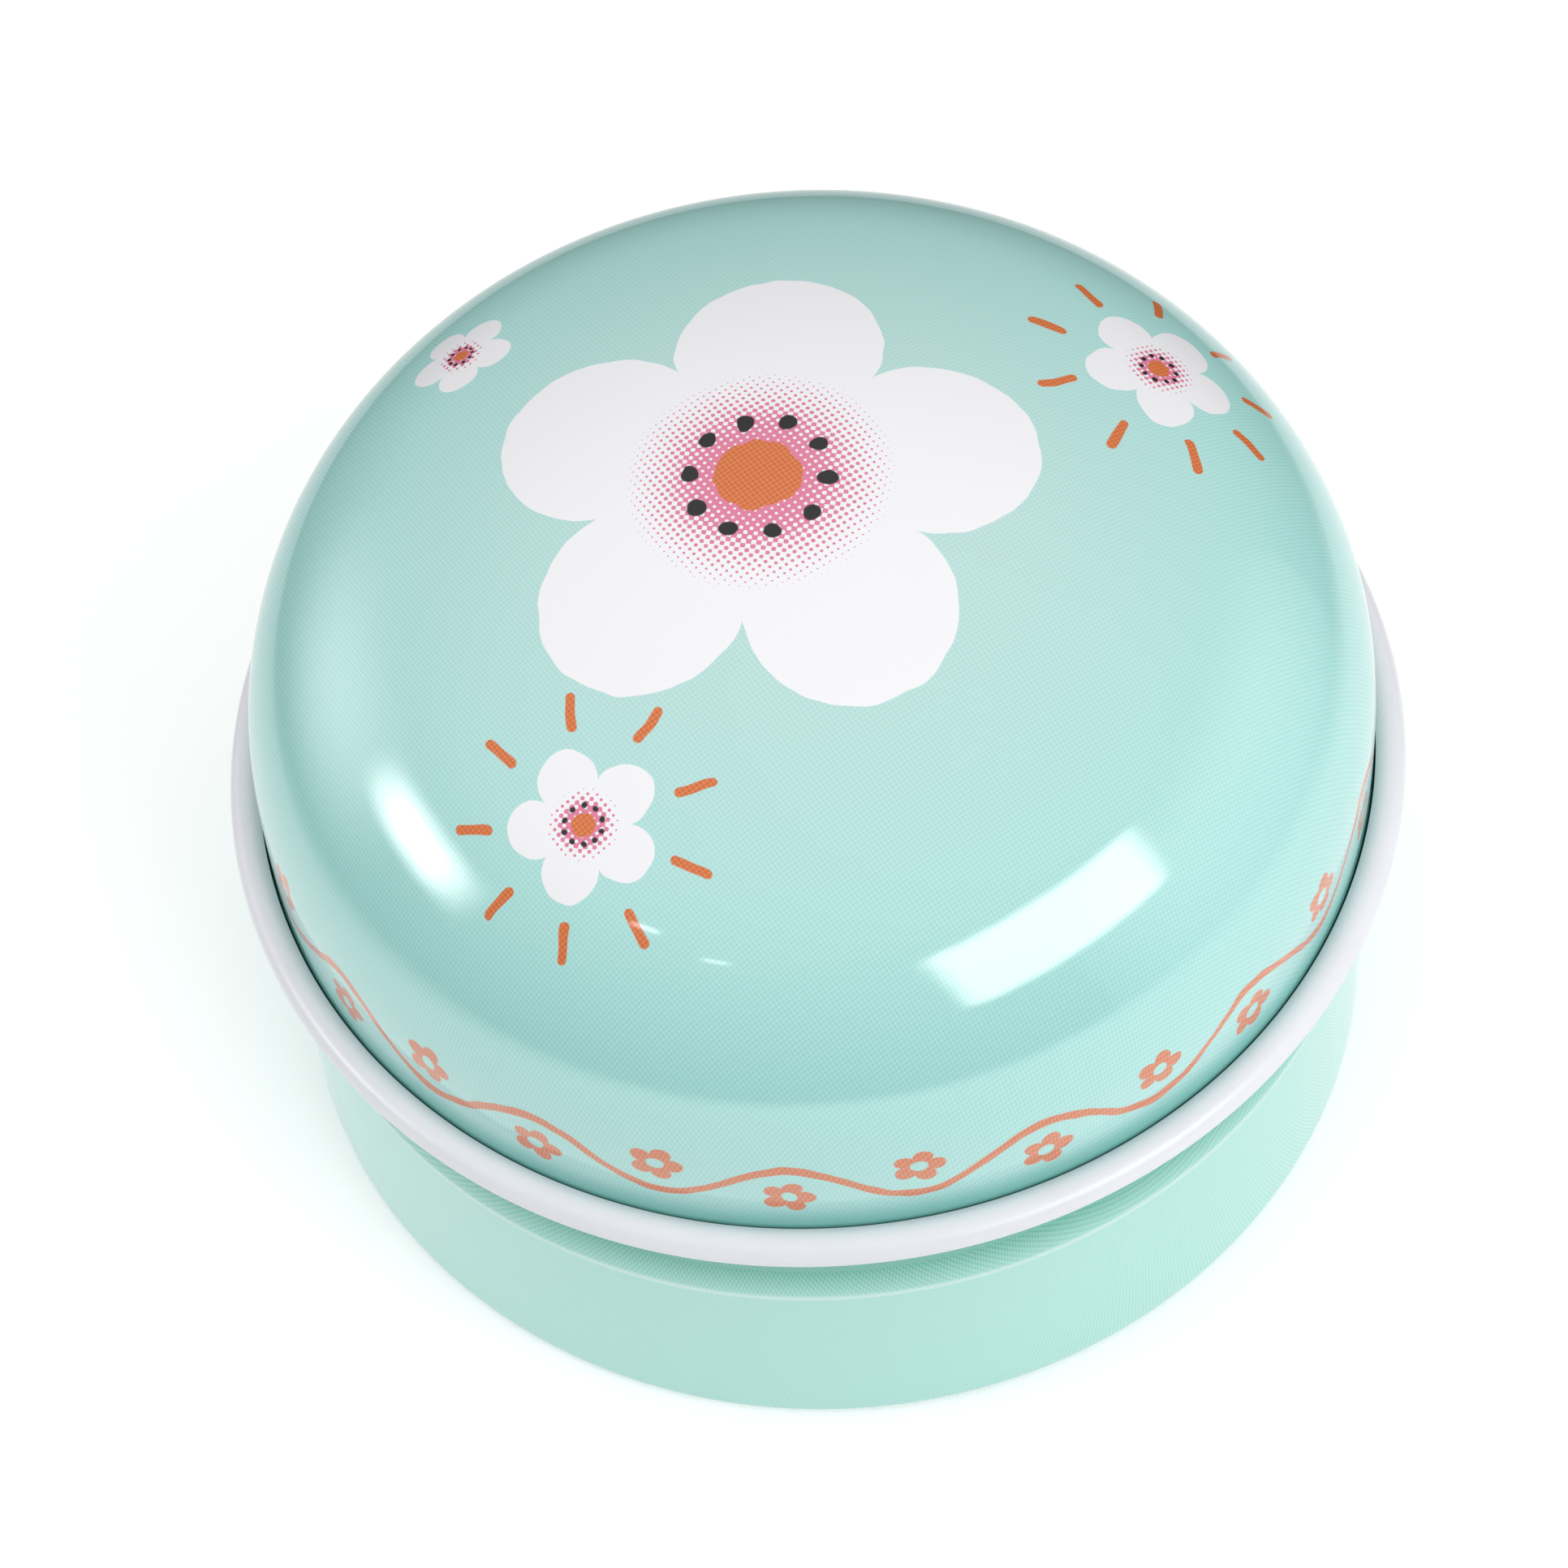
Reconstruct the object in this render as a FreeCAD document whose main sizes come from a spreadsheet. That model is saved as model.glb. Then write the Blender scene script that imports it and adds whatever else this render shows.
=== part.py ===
import FreeCAD, Part
import math
import os

import Sketcher

# A small round keepsake tin: a drawn base with a necked mouth, and a domed slip lid with a curled rim.
# The tin's axis is Z, the foot ring stands on Z = 0, and all sizes are in millimetres.

# Driving sizes
SIZES = {
    "sheet_gauge": 0.25,         # thickness of the tinplate, the same in both pieces
    "neck_radius": 26.05,        # outside of the neck that the lid slips over
    "slip_clearance": 0.15,      # gap between the neck and the lid's skirt, all round
    "seat_gap": 0.5,             # drop left between the mouth's rolled edge and the dome that it stops
    "curl_gap": 0.05,            # slit between the end of a curl and the wall that it rolls back to
    "rim_curl_diameter": 1.8,    # the lid's outward curl
    "rim_curl_height": 18.3,     # middle of that curl above the foot
    "skirt_top": 22.8,           # where the lid's straight skirt turns into the dome's shoulder
    "dome_shoulder_radius": 13.5,
    "dome_crown_radius": 45.0,
    "mouth_curl_diameter": 1.2,  # the base's inward curl, its safe edge
    "shoulder_step": 0.3,        # how far the body stands out from the neck
    "shoulder_height": 11.8,     # top of the straight body wall
    "shoulder_bend": 0.3,        # inside radius of the two bends of the step
    "bottom_corner": 1.0,        # outside radius between the body wall and the foot ring
    "foot_width": 0.8,           # flat of the ring that the tin stands on
    "panel_rise": 0.8,           # how far the bottom panel is drawn up from the foot ring
    "panel_bend": 0.5,           # inside radius of the two bends of that step
}

# A sketch's own numbers for the start, end and centre of an edge, and for its two axes
START, END, CENTRE = range(1, 4)
ACROSS_AXIS, TIN_AXIS = range(-1, -3, -1)
ORIGIN = (ACROSS_AXIS, START)


def line(from_point, to_point):
    """A straight stretch of a profile; points are (radius, height)."""
    return Part.LineSegment(FreeCAD.Vector(*from_point, 0), FreeCAD.Vector(*to_point, 0))


def arc(centre, radius, start_angle, end_angle):
    """A bend of a profile, anticlockwise between two angles in radians."""
    circle = Part.Circle(FreeCAD.Vector(*centre, 0), FreeCAD.Vector(0, 0, 1), radius)
    return Part.ArcOfCircle(circle, start_angle, end_angle)


def profile_sketch(body, edges):
    """A sketch on the body's XZ plane with the given edges, and each edge's number by its name."""
    sketch = body.newObject("Sketcher::SketchObject", body.Label + "_profile")
    plane = [part for part in body.Origin.OriginFeatures if part.Role == "XZ_Plane"][0]
    sketch.AttachmentSupport = [(plane, "")]
    sketch.MapMode = "FlatFace"
    numbers = {}
    for name, shape in edges.items():
        numbers[name] = sketch.addGeometry(shape, False)
    return sketch, numbers


def tie(sketch, kind, *where):
    """A constraint without a size."""
    sketch.addConstraint(Sketcher.Constraint(kind, *where))


def dimension(sketch, name, expression, kind, *where_and_start):
    """A constraint whose size follows the sheet."""
    index = sketch.addConstraint(Sketcher.Constraint(kind, *where_and_start))
    sketch.renameConstraint(index, name)
    sketch.setExpression("Constraints." + name, expression)


def spin_profile(body, sketch):
    """Turn the profile once round the tin's axis."""
    shell = body.newObject("PartDesign::Revolution", body.Label + "_shell")
    shell.Profile = sketch
    shell.ReferenceAxis = (sketch, ["V_Axis"])
    shell.Angle = 360
    return shell


def sheet_of_sizes(doc):
    """The spreadsheet that every sketch reads."""
    sheet = doc.addObject("Spreadsheet::Sheet", "sizes")
    for row, (alias, value) in enumerate(SIZES.items(), start=1):
        sheet.set("A%d" % row, alias)
        sheet.set("B%d" % row, str(value))
        sheet.setAlias("B%d" % row, alias)
    doc.recompute()
    return sheet


def lid(doc):
    """The slip lid: domed crown, round shoulder, straight skirt and outward rim curl."""
    size = SIZES
    gauge = size["sheet_gauge"]
    skirt_inner = size["neck_radius"] + size["slip_clearance"]
    skirt_outer = skirt_inner + gauge
    skirt_top = size["skirt_top"]
    shoulder = size["dome_shoulder_radius"]
    crown = size["dome_crown_radius"]
    curl = size["rim_curl_diameter"] / 2
    curl_centre = (skirt_inner + curl, size["rim_curl_height"])

    # Where the crown meets the shoulder: both centres and the joint lie on one straight line
    shoulder_centre = (skirt_outer - shoulder, skirt_top)
    joint_angle = math.acos(shoulder_centre[0] / (crown - shoulder))
    crown_centre = (0, skirt_top - (crown - shoulder) * math.sin(joint_angle))
    top = crown_centre[1] + crown
    curl_end = skirt_outer + size["curl_gap"]
    curl_end_angle = 2 * math.pi + math.acos((curl_end - curl_centre[0]) / curl)

    def on_curl(radius):
        return (curl_centre[0] + radius * math.cos(curl_end_angle),
                curl_centre[1] + radius * math.sin(curl_end_angle))

    body = doc.addObject("PartDesign::Body", "lid")
    body.Label = "lid"
    sketch, edge = profile_sketch(body, {
        "crown_out": arc(crown_centre, crown, joint_angle, math.pi / 2),
        "shoulder_out": arc(shoulder_centre, shoulder, 0, joint_angle),
        "skirt_out": line((skirt_outer, skirt_top), (skirt_outer, curl_centre[1])),
        "curl_in": arc(curl_centre, curl - gauge, math.pi, curl_end_angle),
        "cut_edge": line(on_curl(curl - gauge), on_curl(curl)),
        "curl_out": arc(curl_centre, curl, math.pi, curl_end_angle),
        "skirt_in": line((skirt_inner, curl_centre[1]), (skirt_inner, skirt_top)),
        "shoulder_in": arc(shoulder_centre, shoulder - gauge, 0, joint_angle),
        "crown_in": arc(crown_centre, crown - gauge, joint_angle, math.pi / 2),
        "middle": line((0, top - gauge), (0, top)),
    })

    # The sheet runs on smoothly from the crown to the end of the curl, on both faces
    for first, first_point, second, second_point in (
        ("crown_out", START, "shoulder_out", END),
        ("shoulder_out", START, "skirt_out", START),
        ("skirt_out", END, "curl_in", START),
        ("curl_out", START, "skirt_in", START),
        ("skirt_in", END, "shoulder_in", START),
        ("shoulder_in", END, "crown_in", START),
    ):
        tie(sketch, "Tangent", edge[first], first_point, edge[second], second_point)
    tie(sketch, "Coincident", edge["curl_in"], END, edge["cut_edge"], START)
    tie(sketch, "Coincident", edge["cut_edge"], END, edge["curl_out"], END)
    tie(sketch, "Coincident", edge["crown_in"], END, edge["middle"], START)
    tie(sketch, "Coincident", edge["middle"], END, edge["crown_out"], END)
    for inner, outer in (("crown_in", "crown_out"), ("shoulder_in", "shoulder_out"), ("curl_in", "curl_out")):
        tie(sketch, "Coincident", edge[inner], CENTRE, edge[outer], CENTRE)
    tie(sketch, "Vertical", edge["skirt_out"])
    tie(sketch, "Vertical", edge["skirt_in"])
    tie(sketch, "PointOnObject", edge["crown_out"], CENTRE, TIN_AXIS)
    tie(sketch, "PointOnObject", edge["crown_out"], END, TIN_AXIS)
    tie(sketch, "PointOnObject", edge["crown_in"], END, TIN_AXIS)
    tie(sketch, "PointOnObject", edge["curl_out"], CENTRE, edge["cut_edge"])

    dimension(sketch, "skirt_inner", "sizes.neck_radius + sizes.slip_clearance",
              "DistanceX", *ORIGIN, edge["skirt_in"], END, skirt_inner)
    dimension(sketch, "gauge", "sizes.sheet_gauge",
              "DistanceX", edge["skirt_in"], END, edge["skirt_out"], START, gauge)
    dimension(sketch, "skirt_top", "sizes.skirt_top",
              "DistanceY", *ORIGIN, edge["shoulder_out"], CENTRE, skirt_top)
    dimension(sketch, "shoulder_radius", "sizes.dome_shoulder_radius", "Radius", edge["shoulder_out"], shoulder)
    dimension(sketch, "crown_radius", "sizes.dome_crown_radius", "Radius", edge["crown_out"], crown)
    dimension(sketch, "curl_radius", "sizes.rim_curl_diameter / 2", "Radius", edge["curl_out"], curl)
    dimension(sketch, "curl_height", "sizes.rim_curl_height",
              "DistanceY", *ORIGIN, edge["curl_out"], CENTRE, curl_centre[1])
    dimension(sketch, "curl_end",
              "sizes.neck_radius + sizes.slip_clearance + sizes.sheet_gauge + sizes.curl_gap",
              "DistanceX", *ORIGIN, edge["curl_out"], END, curl_end)
    spin_profile(body, sketch)
    return body


def base(doc):
    """The drawn base: raised bottom panel, foot ring, body wall, stepped neck and inward mouth curl."""
    size = SIZES
    gauge = size["sheet_gauge"]
    neck = size["neck_radius"]
    wall = neck + size["shoulder_step"]
    corner = size["bottom_corner"]
    step_bend = size["shoulder_bend"]
    step_bend_out = step_bend + gauge
    panel_bend = size["panel_bend"]
    panel_bend_out = panel_bend + gauge
    rise = size["panel_rise"]
    curl = size["mouth_curl_diameter"] / 2

    # The mouth's curl stops a little under the place where it would meet the dome's inside
    shoulder_inside = size["dome_shoulder_radius"] - gauge - curl
    clearance = size["slip_clearance"]
    seat_rise = math.sqrt(clearance * (2 * shoulder_inside - clearance))
    curl_centre = (neck - curl, size["skirt_top"] + seat_rise - size["seat_gap"])
    curl_end = neck - gauge - size["curl_gap"]
    curl_end_angle = 2 * math.pi - math.acos((curl_end - curl_centre[0]) / curl)

    # Each step is two bends in a row, so its slope follows from its depth and its two radii
    step_turn = math.acos(1 - size["shoulder_step"] / (step_bend + step_bend_out))
    step_low = (wall - step_bend_out, size["shoulder_height"])
    step_high = (neck + step_bend, step_low[1] + (step_bend + step_bend_out) * math.sin(step_turn))
    foot_outer = wall - corner
    foot_inner = foot_outer - size["foot_width"]
    panel_turn = math.acos(1 - rise / (panel_bend + panel_bend_out))
    panel_edge = foot_inner - (panel_bend + panel_bend_out) * math.sin(panel_turn)
    quarter = math.pi / 2

    def on_curl(radius):
        return (curl_centre[0] + radius * math.cos(curl_end_angle),
                curl_centre[1] + radius * math.sin(curl_end_angle))

    body = doc.addObject("PartDesign::Body", "base")
    body.Label = "base"
    sketch, edge = profile_sketch(body, {
        "panel_under": line((0, rise), (panel_edge, rise)),
        "panel_bend_under": arc((panel_edge, rise - panel_bend), panel_bend, quarter - panel_turn, quarter),
        "foot_bend_under": arc((foot_inner, panel_bend_out), panel_bend_out, 3 * quarter - panel_turn, 3 * quarter),
        "foot_under": line((foot_inner, 0), (foot_outer, 0)),
        "corner_out": arc((foot_outer, corner), corner, -quarter, 0),
        "wall_out": line((wall, corner), (wall, step_low[1])),
        "step_low_out": arc(step_low, step_bend_out, 0, step_turn),
        "step_high_out": arc(step_high, step_bend, 2 * quarter, 2 * quarter + step_turn),
        "neck_out": line((neck, step_high[1]), (neck, curl_centre[1])),
        "curl_out": arc(curl_centre, curl, 0, curl_end_angle),
        "cut_edge": line(on_curl(curl), on_curl(curl - gauge)),
        "curl_in": arc(curl_centre, curl - gauge, 0, curl_end_angle),
        "neck_in": line((neck - gauge, curl_centre[1]), (neck - gauge, step_high[1])),
        "step_high_in": arc(step_high, step_bend_out, 2 * quarter, 2 * quarter + step_turn),
        "step_low_in": arc(step_low, step_bend, 0, step_turn),
        "wall_in": line((wall - gauge, step_low[1]), (wall - gauge, corner)),
        "corner_in": arc((foot_outer, corner), corner - gauge, -quarter, 0),
        "foot_over": line((foot_outer, gauge), (foot_inner, gauge)),
        "foot_bend_over": arc((foot_inner, panel_bend_out), panel_bend, 3 * quarter - panel_turn, 3 * quarter),
        "panel_bend_over": arc((panel_edge, rise - panel_bend), panel_bend_out, quarter - panel_turn, quarter),
        "panel_over": line((panel_edge, rise + gauge), (0, rise + gauge)),
        "middle": line((0, rise + gauge), (0, rise)),
    })

    # The sheet runs on smoothly from the bottom panel to the end of the mouth's curl, on both faces
    for first, first_point, second, second_point in (
        ("panel_under", END, "panel_bend_under", END),
        ("panel_bend_under", START, "foot_bend_under", START),
        ("foot_bend_under", END, "foot_under", START),
        ("foot_under", END, "corner_out", START),
        ("corner_out", END, "wall_out", START),
        ("wall_out", END, "step_low_out", START),
        ("step_low_out", END, "step_high_out", END),
        ("step_high_out", START, "neck_out", START),
        ("neck_out", END, "curl_out", START),
        ("curl_in", START, "neck_in", START),
        ("neck_in", END, "step_high_in", START),
        ("step_high_in", END, "step_low_in", END),
        ("step_low_in", START, "wall_in", START),
        ("wall_in", END, "corner_in", END),
        ("corner_in", START, "foot_over", START),
        ("foot_over", END, "foot_bend_over", END),
        ("foot_bend_over", START, "panel_bend_over", START),
        ("panel_bend_over", END, "panel_over", START),
    ):
        tie(sketch, "Tangent", edge[first], first_point, edge[second], second_point)
    tie(sketch, "Coincident", edge["curl_out"], END, edge["cut_edge"], START)
    tie(sketch, "Coincident", edge["cut_edge"], END, edge["curl_in"], END)
    tie(sketch, "Coincident", edge["panel_over"], END, edge["middle"], START)
    tie(sketch, "Coincident", edge["middle"], END, edge["panel_under"], START)
    for inner, outer in (
        ("panel_bend_over", "panel_bend_under"),
        ("foot_bend_over", "foot_bend_under"),
        ("corner_in", "corner_out"),
        ("step_low_in", "step_low_out"),
        ("step_high_in", "step_high_out"),
        ("curl_in", "curl_out"),
    ):
        tie(sketch, "Coincident", edge[inner], CENTRE, edge[outer], CENTRE)
    for level in ("panel_under", "panel_over", "foot_under", "foot_over"):
        tie(sketch, "Horizontal", edge[level])
    for upright in ("wall_out", "wall_in", "neck_out", "neck_in"):
        tie(sketch, "Vertical", edge[upright])
    tie(sketch, "PointOnObject", edge["foot_under"], START, ACROSS_AXIS)
    tie(sketch, "PointOnObject", edge["panel_under"], START, TIN_AXIS)
    tie(sketch, "PointOnObject", edge["panel_over"], END, TIN_AXIS)
    tie(sketch, "PointOnObject", edge["curl_out"], CENTRE, edge["cut_edge"])

    dimension(sketch, "gauge", "sizes.sheet_gauge",
              "DistanceY", edge["foot_under"], END, edge["foot_over"], START, gauge)
    dimension(sketch, "panel_rise", "sizes.panel_rise", "DistanceY", *ORIGIN, edge["panel_under"], START, rise)
    dimension(sketch, "panel_bend", "sizes.panel_bend", "Radius", edge["panel_bend_under"], panel_bend)
    dimension(sketch, "foot_bend", "sizes.panel_bend + sizes.sheet_gauge",
              "Radius", edge["foot_bend_under"], panel_bend_out)
    dimension(sketch, "foot_width", "sizes.foot_width",
              "DistanceX", edge["foot_under"], START, edge["foot_under"], END, size["foot_width"])
    dimension(sketch, "bottom_corner", "sizes.bottom_corner", "Radius", edge["corner_out"], corner)
    dimension(sketch, "wall_radius", "sizes.neck_radius + sizes.shoulder_step",
              "DistanceX", *ORIGIN, edge["wall_out"], START, wall)
    dimension(sketch, "shoulder_height", "sizes.shoulder_height",
              "DistanceY", *ORIGIN, edge["step_low_out"], CENTRE, step_low[1])
    dimension(sketch, "step_low_bend", "sizes.shoulder_bend + sizes.sheet_gauge",
              "Radius", edge["step_low_out"], step_bend_out)
    dimension(sketch, "step_high_bend", "sizes.shoulder_bend", "Radius", edge["step_high_out"], step_bend)
    dimension(sketch, "neck_radius", "sizes.neck_radius",
              "DistanceX", *ORIGIN, edge["neck_out"], START, neck)
    dimension(sketch, "curl_radius", "sizes.mouth_curl_diameter / 2", "Radius", edge["curl_out"], curl)
    dimension(sketch, "curl_height",
              "sizes.skirt_top - sizes.seat_gap + sqrt(sizes.slip_clearance * (2 * (sizes.dome_shoulder_radius"
              " - sizes.sheet_gauge - sizes.mouth_curl_diameter / 2) - sizes.slip_clearance))",
              "DistanceY", *ORIGIN, edge["curl_out"], CENTRE, curl_centre[1])
    dimension(sketch, "curl_end", "sizes.neck_radius - sizes.sheet_gauge - sizes.curl_gap",
              "DistanceX", *ORIGIN, edge["curl_out"], END, curl_end)
    spin_profile(body, sketch)
    return body


def check(doc, pieces):
    """Stop before anything is written if a feature failed or a piece isn't one sound solid."""
    for item in doc.Objects:
        if "Invalid" in item.State or "Error" in item.State:
            raise RuntimeError("%s failed: %s" % (item.Name, item.State))
    for piece in pieces:
        shape = piece.Shape
        if shape.isNull() or not shape.isValid() or len(shape.Solids) != 1:
            raise RuntimeError("%s isn't one valid solid" % piece.Label)


def main():
    doc = FreeCAD.newDocument("keepsake_tin")
    sheet_of_sizes(doc)
    pieces = [base(doc), lid(doc)]
    doc.recompute()
    check(doc, pieces)
    os.makedirs("parts", exist_ok=True)
    for piece in pieces:
        piece.Shape.exportStep("parts/%s.step" % piece.Label)
        print(piece.Label, "volume", round(piece.Shape.Volume, 2), "top", round(piece.Shape.BoundBox.ZMax, 3))


main()
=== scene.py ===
import math

import bpy
from mathutils import Matrix, Vector


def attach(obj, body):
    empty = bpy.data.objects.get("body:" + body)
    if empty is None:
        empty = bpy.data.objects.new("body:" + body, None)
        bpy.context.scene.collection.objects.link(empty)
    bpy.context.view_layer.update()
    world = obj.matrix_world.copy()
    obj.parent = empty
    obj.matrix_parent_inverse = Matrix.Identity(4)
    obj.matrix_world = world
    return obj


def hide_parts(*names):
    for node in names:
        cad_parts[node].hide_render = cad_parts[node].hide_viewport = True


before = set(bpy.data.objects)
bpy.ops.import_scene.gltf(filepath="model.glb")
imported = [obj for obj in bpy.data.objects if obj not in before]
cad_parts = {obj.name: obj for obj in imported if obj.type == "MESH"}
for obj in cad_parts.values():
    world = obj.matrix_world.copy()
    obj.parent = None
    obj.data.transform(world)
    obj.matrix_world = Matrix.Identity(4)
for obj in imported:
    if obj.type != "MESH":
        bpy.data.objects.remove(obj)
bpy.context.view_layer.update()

# A small round keepsake tin: a necked base and a domed slip lid, both drawn from printed tinplate.
# The tin's axis is Z and its foot stands on Z = 0. The tin's sizes are in millimetres, the studio's in metres
MM = 0.001
TURN = 2 * math.pi
QUARTER = TURN / 4

# Sheet metal sizes
SHEET_GAUGE = 0.25
CURL_GAP = 0.09
SKIRT_INNER = 26.2
NECK_RADIUS = 25.7
MOUTH_TOP = 24.842
RIM_CURL_RADIUS = 0.9
RIM_CURL_HEIGHT = 18.3
SKIRT_TOP = 22.8
DOME_SHOULDER_RADIUS = 13.5
DOME_CROWN_RADIUS = 45.0
MOUTH_CURL_RADIUS = 0.6
SHOULDER_STEP = 0.65
SHOULDER_HEIGHT = 11.8
SHOULDER_BEND = 0.3
SHOULDER_TURN = math.radians(25)
BOTTOM_CORNER = 1.0
FOOT_WIDTH = 0.8
PANEL_RISE = 0.8
PANEL_BEND = 0.5
SKIRT_OUTER = SKIRT_INNER + SHEET_GAUGE

# Facets round the tin, and the angle past which an edge stays sharp
SEGMENTS = 384
SHARP_ANGLE = math.radians(35)


# Profiles of the printed face, from the tin's axis to the cut edge of the sheet
def bend(centre, radius, from_angle, to_angle, steps):
    """Points along a bend after its first one; angles are counted anticlockwise from straight outwards."""
    points = []
    for step in range(1, steps + 1):
        angle = from_angle + (to_angle - from_angle) * step / steps
        points.append((centre[0] + radius * math.cos(angle), centre[1] + radius * math.sin(angle)))
    return points


def straight(start, end, steps):
    """Points along a straight stretch after its first one."""
    return [
        (start[0] + (end[0] - start[0]) * step / steps, start[1] + (end[1] - start[1]) * step / steps)
        for step in range(1, steps + 1)
    ]


def lid_profile():
    """Crown, shoulder, skirt and the inner side of the outward rim curl."""
    shoulder_centre = (SKIRT_OUTER - DOME_SHOULDER_RADIUS, SKIRT_TOP)
    centres_apart = DOME_CROWN_RADIUS - DOME_SHOULDER_RADIUS
    joint = math.acos(shoulder_centre[0] / centres_apart)
    crown_centre = (0, SKIRT_TOP - centres_apart * math.sin(joint))
    curl_centre = (SKIRT_INNER + RIM_CURL_RADIUS, RIM_CURL_HEIGHT)
    curl_end = TURN + math.acos((SKIRT_OUTER + CURL_GAP - curl_centre[0]) / RIM_CURL_RADIUS)
    points = [(0, crown_centre[1] + DOME_CROWN_RADIUS)]
    points += bend(crown_centre, DOME_CROWN_RADIUS, QUARTER, joint, steps=20)
    points += bend(shoulder_centre, DOME_SHOULDER_RADIUS, joint, 0, steps=30)
    points += straight(points[-1], (SKIRT_OUTER, RIM_CURL_HEIGHT), steps=4)
    points += bend(curl_centre, RIM_CURL_RADIUS - SHEET_GAUGE, 2 * QUARTER, curl_end, steps=36)
    return points


def base_profile():
    """Raised bottom panel, foot ring, body wall, stepped neck and inward mouth curl."""
    wall = NECK_RADIUS + SHOULDER_STEP
    foot_outer = wall - BOTTOM_CORNER
    foot_inner = foot_outer - FOOT_WIDTH
    panel_bend_out = PANEL_BEND + SHEET_GAUGE
    panel_turn = math.acos(1 - PANEL_RISE / (PANEL_BEND + panel_bend_out))
    panel_edge = foot_inner - (PANEL_BEND + panel_bend_out) * math.sin(panel_turn)
    step_bend_out = SHOULDER_BEND + SHEET_GAUGE
    slope_in = SHOULDER_STEP - (SHOULDER_BEND + step_bend_out) * (1 - math.cos(SHOULDER_TURN))
    slope_up = slope_in / math.tan(SHOULDER_TURN)
    curl_centre = (NECK_RADIUS - MOUTH_CURL_RADIUS, MOUTH_TOP - MOUTH_CURL_RADIUS)
    curl_back = NECK_RADIUS - SHEET_GAUGE - CURL_GAP - curl_centre[0]
    curl_end = TURN - math.acos(curl_back / MOUTH_CURL_RADIUS)
    points = [(0, PANEL_RISE)]
    points += straight(points[-1], (panel_edge, PANEL_RISE), steps=8)
    panel_centre = (panel_edge, PANEL_RISE - PANEL_BEND)
    points += bend(panel_centre, PANEL_BEND, QUARTER, QUARTER - panel_turn, steps=8)
    foot_centre = (foot_inner, panel_bend_out)
    points += bend(foot_centre, panel_bend_out, 3 * QUARTER - panel_turn, 3 * QUARTER, steps=8)
    points += straight(points[-1], (foot_outer, 0), steps=2)
    points += bend((foot_outer, BOTTOM_CORNER), BOTTOM_CORNER, -QUARTER, 0, steps=12)
    points += straight(points[-1], (wall, SHOULDER_HEIGHT), steps=8)
    points += bend((wall - step_bend_out, SHOULDER_HEIGHT), step_bend_out, 0, SHOULDER_TURN, steps=8)
    slope_top = (points[-1][0] - slope_in, points[-1][1] + slope_up)
    points += straight(points[-1], slope_top, steps=4)
    neck_centre = (NECK_RADIUS + SHOULDER_BEND, slope_top[1] + SHOULDER_BEND * math.sin(SHOULDER_TURN))
    points += bend(neck_centre, SHOULDER_BEND, 2 * QUARTER + SHOULDER_TURN, 2 * QUARTER, steps=8)
    points += straight(points[-1], (NECK_RADIUS, curl_centre[1]), steps=8)
    points += bend(curl_centre, MOUTH_CURL_RADIUS, 0, curl_end, steps=32)
    return points


# Inks, some of them graded to paint light and shade: the paler crown, the darker neck and crease, the pale
# shoulder line
MINT_DOTS_CROWN_LIT = "#AED9D4"
MINT_GAPS_CROWN_LIT = "#C5E3E0"
MINT_DOTS_SKIRT = "#9CDBD3"
MINT_GAPS_SKIRT = "#B5E6E3"
MINT_DOTS_WALL = "#94D7CB"
MINT_GAPS_WALL = "#B6E6DD"
MINT_DOTS_NECK_SHADE = "#22987E"
MINT_GAPS_NECK_SHADE = "#64BEAA"
MINT_SHOULDER_HIGHLIGHT = "#CBEBE4"
MINT_CREASE_SHADE = "#5FB3A8"
WHITE_COAT = "#F3F3F6"
PINK_INK = "#E07F9F"
ORANGE_INK = "#E58446"
ORANGE_SCREEN = "#C66237"
BLACK_INK = "#1A1717"

# The lid's mint goes from a paler crown tint to its skirt tint between these distances along the sheet. The
# paler crown is painted light, where the crown faces the overhead light and mirrors the room
PAINTED_LIGHT_FULL_WITHIN = 10
PAINTED_LIGHT_GONE_PAST = 30

# The base's mint goes from its wall tint to a darker neck tint, which is painted shade from the lid's rim,
# over the first of these heights above the shoulder, and thins out between the other two, until this share of
# it is left
NECK_SHADE_RISE = 1.6
NECK_SHADE_THINS_FROM = 3.0
NECK_SHADE_THINS_TO = 7.5
NECK_SHADE_LEFT = 0.2

# The true dot screen is near 0.15 mm; it is drawn about a half coarser, so that it shows in the render.
# The pink's is coarser still
SCREEN_PITCH = 0.22
PINK_PITCH = 0.34
SCREEN_TURN = math.radians(15)

# How much of a wall's height was sheet on the flat blank: the lid's skirt took up less than the base's wall
LID_WALL_SHARE = 0.5
BASE_WALL_SHARE = 1.3

# The least radius that the print is spread by, so that nothing is divided by zero on the axis
LEAST_RADIUS = 0.01

# Painted shade and dark reflection in the crease above the rim curl, by height, and its cover at the foot of
# the skirt
CREASE_SHADE_FULL_BELOW = 19.4
CREASE_SHADE_NONE_ABOVE = 21.4
CREASE_SHADE_COVER = 0.7

# The painted highlight along the bend of the shoulder
SHOULDER_HIGHLIGHT_HEIGHT = SHOULDER_HEIGHT + 0.1
SHOULDER_HIGHLIGHT_FULL_WITHIN = 0.04
SHOULDER_HIGHLIGHT_NONE_PAST = 0.2
SHOULDER_HIGHLIGHT_COVER = 0.85

# The motifs were drawn by hand: each waver is about 1.8 mm long and mostly under 0.1 mm deep
WAVER_LENGTH = 1.8
WAVER_SWING = 0.4

# Softness of printed edges
EDGE_SOFTNESS = 0.04
STROKE_SOFTNESS = 0.06

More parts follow.
